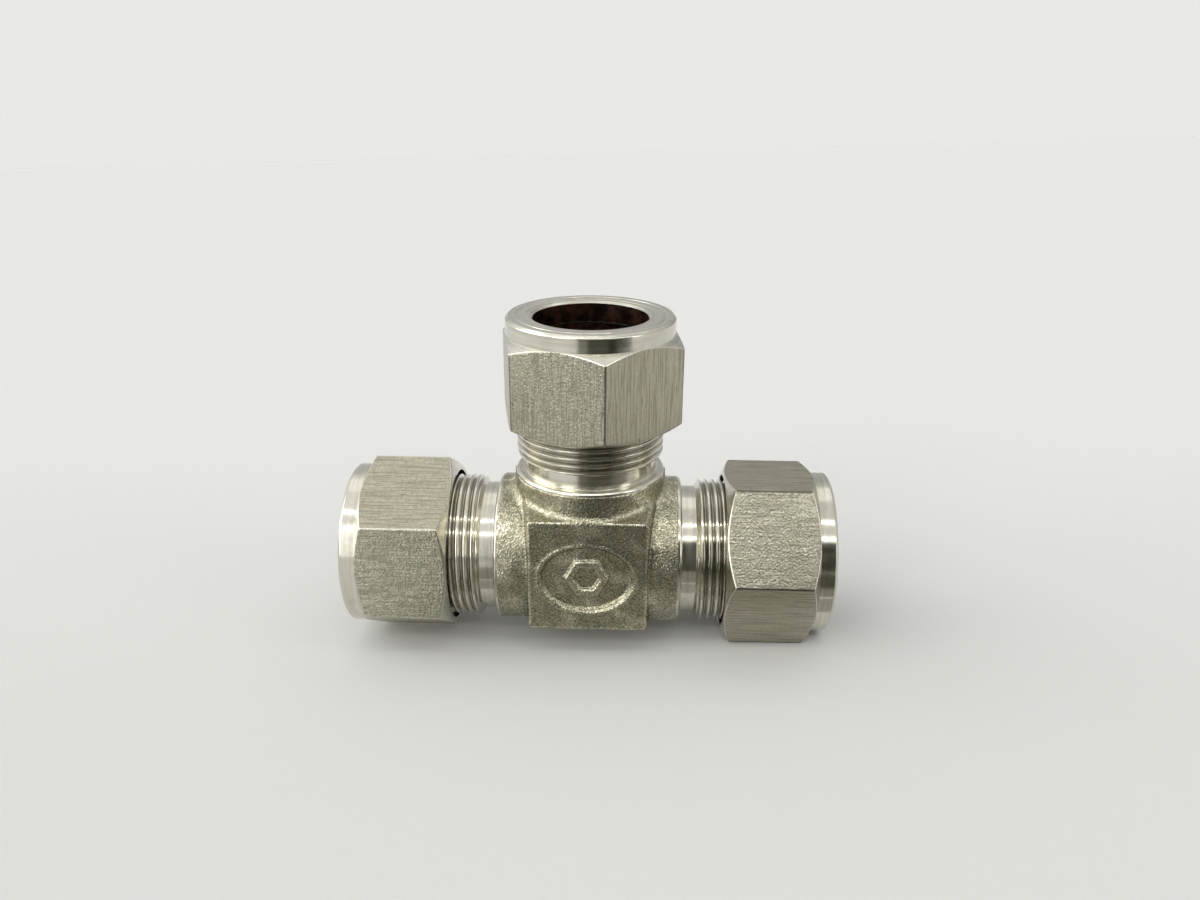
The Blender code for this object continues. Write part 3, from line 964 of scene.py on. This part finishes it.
def make_threaded_end(end, tree, materials):
    """Land, shoulder, relief, thread, mouth, socket and tube stop of one end."""
    mouth_end = BODY_END - (MOUTH_R - SOCKET_R) / MOUTH_SLOPE
    root = TUBE_STOP - END_BURIED
    bore = FLOW_R - BORE_STEP
    shank = [
        (bore, root),
        (LAND_R, root),
        (LAND_R, SHOULDER - LAND_CHAMFER),
        (LAND_R - LAND_CHAMFER, SHOULDER),
        (RELIEF_R, SHOULDER),
        (RELIEF_R, RELIEF_END),
    ]
    inside = [
        (END_CHAMFER_R, BODY_END),
        (MOUTH_R, BODY_END),
        (SOCKET_R, mouth_end),
        (SOCKET_R, TUBE_STOP),
        (bore, TUBE_STOP),
        (bore, root),
    ]
    bm = bmesh.new()
    add_skin(bm, eased(shank, 0.14), turned_angles())
    low, high = (RELIEF_END, RELIEF_R), (BODY_END, END_CHAMFER_R)
    add_thread(bm, tree, materials[0], low, high)
    add_skin(bm, eased(inside, 0.10), turned_angles())
    mesh = finish_mesh(f"{end}_threaded_end", bm)
    lay_tool_lines(mesh)
    darken_roots(mesh)
    darken_inside(mesh, materials)
    place_piece(mesh, end_matrix(end), "tee_body", ["tee_body"])


def hexagon_tangent():
    """Angle from a corner to where its rounding meets the flat."""
    centre = (HEX_APOTHEM - HEX_CORNER_R) / math.cos(math.pi / 6)
    return math.atan2(HEX_CORNER_R / 2, centre + HEX_CORNER_R * math.cos(math.pi / 6))


def hexagon_angles(turn):
    """Columns round a hexagon, close together at its rounded corners."""
    tangent = math.degrees(hexagon_tangent())
    near = [0.0, tangent * 0.35, tangent * 0.7, tangent, tangent * 1.6]
    half = near + list(np.linspace(2.5, 30.0, 11))
    sector = half + [60.0 - a for a in reversed(half[1:-1])]
    angles = [60.0 * k + a for k in range(6) for a in sector]
    return np.radians(angles) + turn


def hexagon_radius(angles, turn):
    """Distance out to a hexagon whose corners are rounded."""
    from_corner = (angles - turn + math.pi / 6) % (math.pi / 3) - math.pi / 6
    flat = HEX_APOTHEM / np.cos(math.pi / 6 - np.abs(from_corner))
    centre = (HEX_APOTHEM - HEX_CORNER_R) / math.cos(math.pi / 6)
    sideways = centre * np.sin(from_corner)
    reach = np.sqrt(np.maximum(HEX_CORNER_R**2 - sideways**2, 0))
    rounded = centre * np.cos(from_corner) + reach
    return np.where(np.abs(from_corner) < hexagon_tangent(), rounded, flat)


def nut_outside(turn, angles):
    """Rows of the nut's outside, from its inner face over the hexagon and collar."""
    hexagon = hexagon_radius(angles, turn)
    low = (hexagon - RIM_R) * HEX_CHAMFER
    high = COLLAR_AT - (hexagon - COLLAR_R) * HEX_CHAMFER
    low_ease = np.minimum(HEX_EASE, 0.4 * (hexagon - RIM_R))
    high_ease = np.minimum(HEX_EASE, 0.4 * (hexagon - COLLAR_R))
    rows = [(RIM_INNER_R, 0.0), (RIM_R - 0.14, 0.0), (RIM_R - 0.05, 0.005)]
    rows.append((RIM_R + 0.04, 0.03))
    rows.append((hexagon - low_ease * 1.5, low - low_ease * 1.5 * HEX_CHAMFER))
    rows.append((hexagon - low_ease, low - low_ease * HEX_CHAMFER))
    rows.append((hexagon - low_ease * 0.25, low + low_ease * 0.1))
    rows.append((hexagon, low + low_ease))
    for share in np.linspace(0.02, 0.98, 30):
        start, end = low + low_ease, high - high_ease
        rows.append((hexagon, start + (end - start) * share))
    rows.append((hexagon, high - high_ease))
    rows.append((hexagon - high_ease * 0.25, high - high_ease * 0.1))
    rows.append((hexagon - high_ease, high + high_ease * HEX_CHAMFER))
    rows.append((hexagon - high_ease * 1.5, high + high_ease * 1.5 * HEX_CHAMFER))
    collar = [
        (COLLAR_R, COLLAR_AT),
        (COLLAR_R, NUT_LONG - COLLAR_CHAMFER),
        (COLLAR_R - COLLAR_CHAMFER, NUT_LONG),
        (COLLAR_FACE_R, NUT_LONG),
    ]
    return rows + eased(collar, 0.1)


def nut_inside_rows():
    """End face with its machining steps, hole, step, cavity and thread relief."""
    face = [
        (13.0, NUT_LONG),
        (12.75, NUT_LONG),
        (12.66, NUT_LONG - 0.12),
        (12.5, NUT_LONG - 0.12),
        (12.4, NUT_LONG),
        (10.95, NUT_LONG),
        (10.85, NUT_LONG - 0.1),
        (TUBE_HOLE_R + HOLE_CHAMFER, NUT_LONG - 0.1),
        (TUBE_HOLE_R, NUT_LONG - HOLE_CHAMFER),
        (TUBE_HOLE_R, NUT_STEP),
        (CAVITY_R, NUT_STEP),
        (CAVITY_R, THREAD_RELIEF[1]),
        (THREAD_RELIEF_R, THREAD_RELIEF[1]),
        (THREAD_RELIEF_R, THREAD_RELIEF[0]),
    ]
    return eased(face, 0.08)


def make_nut(end, tree, materials):
    start = nut_start(end)
    turn = math.radians(HEX_TURN[end])
    angles = hexagon_angles(turn)
    bm = bmesh.new()
    outside = add_skin(bm, [(r, h + start) for r, h in nut_outside(turn, angles)], angles)
    inside = add_skin(bm, [(r, h + start) for r, h in nut_inside_rows()], turned_angles())
    mouth = start + COUNTERBORE_DEEP
    rim_rows = [(COUNTERSINK_R, mouth), (COUNTERSINK_R, start), (RIM_HOLE_R, start)]
    rim = add_skin(bm, eased(rim_rows, 0.08), turned_angles())
    bridge(bm, outside[0], rim[-1])
    bridge(bm, outside[-1], inside[0])
    thread_end = start + THREAD_RELIEF[0]
    low, high = (mouth, COUNTERSINK_R), (thread_end, THREAD_RELIEF_R)
    add_thread(bm, tree, materials[1], low, high, gap=NUT_THREAD_GAP, side=-1.0)
    mesh = finish_mesh(f"{end}_hexagon_nut", bm)

    _, centres, normals, _ = corner_facts(mesh)
    out = np.hypot(centres[:, 0], centres[:, 1])
    height = centres[:, 2] - start
    level = np.abs(normals[:, 2])
    flats = (out > COLLAR_R + 0.01) & (level < 0.2)
    flats &= height < COLLAR_AT
    # the nut's hole and its inner thread take the near-black bore metal
    darkened = (out < TUBE_HOLE_R + 0.12) & (level < 0.6)
    darkened |= (out < COUNTERSINK_R + 0.05) & (height > 0.12) & (height < THREAD_RELIEF[1])
    finish = np.where(flats, 0, np.where(darkened, 2, 1))
    lay_tool_lines(mesh, flats, turn)
    give_materials(mesh, materials, finish)

    x, y, _ = vertex_places(mesh).T
    bearing = np.arctan2(y, x) - turn
    sector = np.floor(bearing / (math.pi / 3)).astype(int) % 6
    give_attribute(mesh, "grain", np.array(FLAT_GRAIN[end])[sector])
    # corner marks: a painted highlight on worn corners where the entry is positive, painted shade
    # where it is negative
    at_corner = np.hypot(x, y) > CORNER_MARK_R
    give_attribute(mesh, "edge", at_corner * CORNER_WEAR_SHEEN_AND_SHADE[end])
    place_piece(mesh, end_matrix(end), f"{end}_nut", [f"{end}_nut"])


def make_ferrules(end, materials):
    """Front and back ferrule, from their outlines about the end's axis."""
    step = nut_start(end) + NUT_STEP
    for name, outline in (("back", BACK_RING), ("front", FRONT_RING)):
        closed = list(outline) + [outline[0]]
        rows = [(r, step - inward) for r, inward in closed]
        bm = bmesh.new()
        add_skin(bm, eased(rows, 0.06), turned_angles())
        mesh = finish_mesh(f"{end}_{name}_ring", bm)
        lay_tool_lines(mesh)
        darken_inside(mesh, materials)
        node = f"{end}_{name}_ferrule"
        place_piece(mesh, end_matrix(end), f"{end}_ferrules", [node])


# Floor, light and camera


def floor_paper():
    """White paper, with painted shade that makes it a little greyer towards the camera."""
    material = bpy.data.materials.new("floor_paper")
    material.use_nodes = True
    tree = material.node_tree
    shader = tree.nodes["Principled BSDF"]
    coords = new_node(tree, "ShaderNodeTexCoord")
    forward = split(tree, coords.outputs["Object"])[1]
    tone = mix_colours(tree, ramp(tree, forward, -0.08, 0.16), FLOOR_SHADED_GREY, FLOOR_WHITE)
    tree.links.new(tone, shader.inputs["Base Color"])
    shader.inputs["Roughness"].default_value = 1.0
    shader.inputs["Specular IOR Level"].default_value = 0.0
    return material


def make_reflection_sheet(name, corner, wide, tall, glow_colour):
    """A glowing sheet in front of the tee, which only shows in the steel: a painted reflection."""
    mesh = bpy.data.meshes.new(name)
    corner, wide, tall = (Vector(side) for side in (corner, wide, tall))
    corners = (corner, corner + wide, corner + wide + tall, corner + tall)
    mesh.from_pydata([spot * MM + CROSSING for spot in corners], [], [(0, 1, 2, 3)])
    material = bpy.data.materials.new(name)
    material.use_nodes = True
    tree = material.node_tree
    tree.nodes.clear()
    glow = new_node(tree, "ShaderNodeEmission")
    glow.inputs["Color"].default_value = glow_colour
    out = new_node(tree, "ShaderNodeOutputMaterial")
    tree.links.new(glow.outputs[0], out.inputs["Surface"])
    mesh.materials.append(material)
    sheet = bpy.data.objects.new(name, mesh)
    bpy.context.scene.collection.objects.link(sheet)
    sheet.visible_camera = False
    sheet.visible_diffuse = False
    sheet.visible_shadow = False


def make_floor():
    """A wide pale surface under the two nuts that the tee rests on."""
    lean = FLOOR_LEAN
    lowest = 1.0
    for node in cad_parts.values():
        for vertex in node.data.vertices:
            lowest = min(lowest, vertex.co.dot(lean))
    side = FLOOR_HALF
    turn = Vector((0, 0, 1)).rotation_difference(lean).to_matrix().to_4x4()
    mesh = bpy.data.meshes.new("floor")
    corners = [(-side, -side, 0), (side, -side, 0), (side, side, 0), (-side, side, 0)]
    mesh.from_pydata(corners, [], [(0, 1, 2, 3)])
    mesh.transform(Matrix.Translation(lean * lowest) @ turn)
    mesh.materials.append(floor_paper())
    floor = bpy.data.objects.new("floor", mesh)
    bpy.context.scene.collection.objects.link(floor)


def window(tree, value, low, high, soft):
    """A share that is 1 between two values and 0 beyond them, with soft sides."""
    rise = ramp(tree, value, low - soft, low)
    fall = ramp(tree, value, high, high + soft, 1.0, 0.0)
    return maths(tree, "MULTIPLY", rise, fall)


def make_studio():
    """A white tent of light, brighter on the left and dimmer behind, with two strip lights
    above the front and soft panels to the left, to the right and behind. The camera itself
    sees a plain far wall."""
    world = bpy.data.worlds.new("studio")
    bpy.context.scene.world = world
    world.use_nodes = True
    tree = world.node_tree
    tree.nodes.clear()
    coords = new_node(tree, "ShaderNodeTexCoord")
    x, y, z = split(tree, coords.outputs["Generated"])
    to_front = maths(tree, "MULTIPLY", y, -1.0)
    bearing = maths(tree, "DEGREES", maths(tree, "ARCTAN2", x, to_front))
    height = maths(tree, "DEGREES", maths(tree, "ARCSINE", z))
    fold = maths(tree, "DEGREES", maths(tree, "ARCTAN2", z, to_front))

    tent = mix_colours(tree, ramp(tree, height, -5.0, 60.0), TENT_LOW, TENT_HIGH)
    side = ramp(tree, x, -0.7, 0.7, 1.3, 0.84)
    side = maths(tree, "MULTIPLY", side, ramp(tree, y, 0.5, 0.9, 1.0, 0.6))
    light = mix_colours(tree, 1.0, tent, combine(tree, side, side, side), "MULTIPLY")

    # where each panel is one way, where it is the other way, and how bright it is
    panels = (
        (window(tree, bearing, -46.0, -28.0, 4.0), window(tree, height, -5.0, 38.0, 8.0), 3.8),
        (window(tree, bearing, -110.0, -64.0, 6.0), window(tree, height, -5.0, 45.0, 8.0), 3.0),
        (window(tree, bearing, 61.0, 72.0, 3.0), window(tree, height, -5.0, 45.0, 8.0), 2.6),
        (window(tree, height, 52.0, 74.0, 8.0), window(tree, y, 0.25, 0.6, 0.1), 1.15),
        (window(tree, fold, 43.4, 45.0, 0.6), window(tree, x, -0.55, 0.5, 0.1), 9.0),
        (window(tree, fold, 67.2, 68.8, 0.6), window(tree, x, -0.55, 0.5, 0.1), 9.0),
    )
    for wide, tall, power in panels:
        share = maths(tree, "MULTIPLY", wide, tall)
        light = mix_colours(tree, share, light, (power, power, power * 0.97, 1))

    lamp = new_node(tree, "ShaderNodeBackground")
    feed(tree, lamp.inputs["Color"], light)
    plain = new_node(tree, "ShaderNodeBackground")
    plain.inputs["Color"].default_value = FAR_WHITE
    path = new_node(tree, "ShaderNodeLightPath")
    both = new_node(tree, "ShaderNodeMixShader")
    feed(tree, both.inputs[0], path.outputs["Is Camera Ray"])
    feed(tree, both.inputs[1], lamp.outputs[0])
    feed(tree, both.inputs[2], plain.outputs[0])
    out = new_node(tree, "ShaderNodeOutputWorld")
    feed(tree, out.inputs["Surface"], both.outputs[0])


def make_camera():
    """Looks down at the tee's front from 18 cm away."""
    data = bpy.data.cameras.new("camera")
    data.sensor_width = 36.0
    data.lens = CAMERA_LENS
    data.clip_start, data.clip_end = 0.01, 20.0
    angles = (CAMERA_YAW, CAMERA_PITCH, CAMERA_ROLL)
    yaw, pitch, roll = (math.radians(angle) for angle in angles)
    ahead = Vector(
        (math.sin(yaw) * math.cos(pitch), math.cos(yaw) * math.cos(pitch), -math.sin(pitch))
    )
    level = Vector((math.cos(yaw), -math.sin(yaw), 0))
    upright = level.cross(ahead)
    right = level * math.cos(roll) + upright * math.sin(roll)
    up = upright * math.cos(roll) - level * math.sin(roll)
    camera = bpy.data.objects.new("camera", data)
    stand = CROSSING + CAMERA_STAND * MM
    turn = Matrix((right, up, -ahead)).transposed().to_4x4()
    camera.matrix_world = Matrix.Translation(stand) @ turn
    bpy.context.scene.collection.objects.link(camera)
    bpy.context.scene.camera = camera


def main():
    make_camera()
    forged, turned, hexagon, bore_metal = forged_steel(), turned_steel(), hexagon_steel(), dark_bore()
    tree = thread_tree()
    make_forged_body(forged, bore_metal)
    for end in ENDS:
        make_threaded_end(end, tree, (turned, bore_metal))
        make_nut(end, tree, (hexagon, turned, bore_metal))
        make_ferrules(end, (turned, bore_metal))
    make_floor()
    # painted reflections of the dark surroundings and of the floor's shade, seen only in the steel
    for name, facts in REFLECTION_SHEETS.items():
        make_reflection_sheet(name, *facts)
    make_studio()
    bpy.context.scene.view_settings.view_transform = "Standard"


main()
